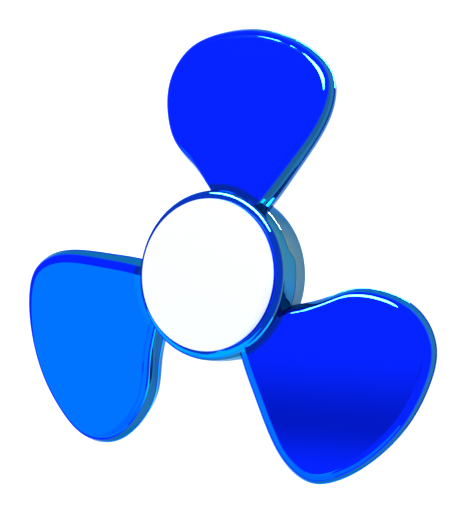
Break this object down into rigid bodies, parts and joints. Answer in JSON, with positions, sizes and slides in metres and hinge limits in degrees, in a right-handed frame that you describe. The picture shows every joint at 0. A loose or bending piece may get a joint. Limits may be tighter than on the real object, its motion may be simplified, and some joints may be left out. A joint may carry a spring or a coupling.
{
  "type": "finger spinner",
  "caption": "Propeller-shaped finger spinner: a glossy blue bladed body turns on a sealed ball bearing between two white finger caps.",
  "frame": {"origin": "middle of the rear finger cap's flat outer face, on the spin axis", "axes": "+Z along the spin axis towards the front finger cap; +Y along the middle of one blade at rest; the spinner lies flat on its rear cap"},
  "size_m": [0.0731, 0.0697, 0.0113],
  "materials": {
    "blue_body": "mirror-gloss blue metallised coat over moulded plastic",
    "cap": "gloss white moulded plastic",
    "bearing_steel": "ground and polished bearing steel",
    "ball_steel": "polished steel",
    "shield_steel": "pressed sheet steel",
    "spring_steel": "drawn spring wire",
    "cage_steel": "pressed strip steel"
  },
  "bodies": {
    "finger_caps": {"front_cap": "cap", "rear_cap": "cap", "bearing_inner_ring": "bearing_steel"},
    "rotor": {"front_shell": "blue_body", "rear_shell": "blue_body", "bearing_outer_ring": "bearing_steel", "front_shield": "shield_steel", "rear_shield": "shield_steel", "front_snap_ring": "spring_steel", "rear_snap_ring": "spring_steel"},
    "ball_cage": {"front_cage_half": "cage_steel", "rear_cage_half": "cage_steel", "cage_rivets": "cage_steel"},
    "ball_1": {"ball_1": "ball_steel"},
    "ball_2": {"ball_2": "ball_steel"},
    "ball_3": {"ball_3": "ball_steel"},
    "ball_4": {"ball_4": "ball_steel"},
    "ball_5": {"ball_5": "ball_steel"},
    "ball_6": {"ball_6": "ball_steel"},
    "ball_7": {"ball_7": "ball_steel"}
  },
  "joints": [
    {"name": "spin", "type": "hinge", "parent": "finger_caps", "child": "rotor", "pos_m": [0, 0, 0.00565], "axis": [0, 0, 1], "continuous": true},
    {"name": "cage_turn", "type": "hinge", "parent": "finger_caps", "child": "ball_cage", "pos_m": [0, 0, 0.00565], "axis": [0, 0, 1], "continuous": true},
    {"name": "ball_1_roll", "type": "hinge", "parent": "ball_cage", "child": "ball_1", "pos_m": [0.0075, 0, 0.00565], "axis": [0, 0, 1], "continuous": true},
    {"name": "ball_2_roll", "type": "hinge", "parent": "ball_cage", "child": "ball_2", "pos_m": [0.00468, 0.00586, 0.00565], "axis": [0, 0, 1], "continuous": true},
    {"name": "ball_3_roll", "type": "hinge", "parent": "ball_cage", "child": "ball_3", "pos_m": [-0.00167, 0.00731, 0.00565], "axis": [0, 0, 1], "continuous": true},
    {"name": "ball_4_roll", "type": "hinge", "parent": "ball_cage", "child": "ball_4", "pos_m": [-0.00676, 0.00325, 0.00565], "axis": [0, 0, 1], "continuous": true},
    {"name": "ball_5_roll", "type": "hinge", "parent": "ball_cage", "child": "ball_5", "pos_m": [-0.00676, -0.00325, 0.00565], "axis": [0, 0, 1], "continuous": true},
    {"name": "ball_6_roll", "type": "hinge", "parent": "ball_cage", "child": "ball_6", "pos_m": [-0.00167, -0.00731, 0.00565], "axis": [0, 0, 1], "continuous": true},
    {"name": "ball_7_roll", "type": "hinge", "parent": "ball_cage", "child": "ball_7", "pos_m": [0.00468, -0.00586, 0.00565], "axis": [0, 0, 1], "continuous": true}
  ],
  "couplings": [
    {"joint": "cage_turn", "follows": "spin", "ratio": 0.6323},
    {"joint": "ball_1_roll", "follows": "spin", "ratio": 1.7579},
    {"joint": "ball_2_roll", "follows": "spin", "ratio": 1.7579},
    {"joint": "ball_3_roll", "follows": "spin", "ratio": 1.7579},
    {"joint": "ball_4_roll", "follows": "spin", "ratio": 1.7579},
    {"joint": "ball_5_roll", "follows": "spin", "ratio": 1.7579},
    {"joint": "ball_6_roll", "follows": "spin", "ratio": 1.7579},
    {"joint": "ball_7_roll", "follows": "spin", "ratio": 1.7579}
  ]
}
